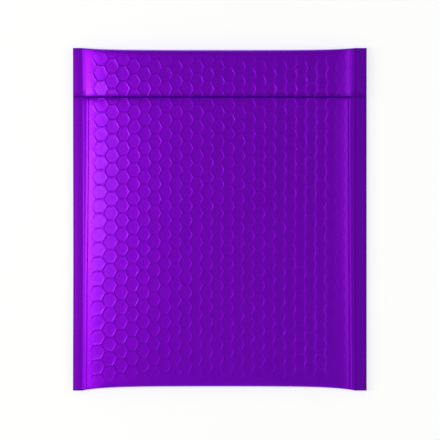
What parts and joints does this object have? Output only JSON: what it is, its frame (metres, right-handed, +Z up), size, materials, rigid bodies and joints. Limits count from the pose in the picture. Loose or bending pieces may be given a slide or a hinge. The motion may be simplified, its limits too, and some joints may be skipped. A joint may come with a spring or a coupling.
{
  "type": "padded envelope",
  "caption": "Flat padded envelope of metallic purple bubble-lined film, closed, with welded side bands and a flap folded down over the front.",
  "frame": {"origin": "centre of the base: the middle of the outline, on the plane the back lies on", "axes": "+X across the envelope to the right as seen from the front, +Y from the bottom fold to the flap fold, +Z up out of the front"},
  "size_m": [0.24, 0.28, 0.0125],
  "materials": {
    "metallic_film": "satin metallised film",
    "adhesive": "cloudy hot melt",
    "liner_paper": "smooth silicone-coated"
  },
  "bodies": {
    "root": {"envelope": "metallic_film", "adhesive_strip": "adhesive", "release_liner": "liner_paper"}
  },
  "joints": []
}
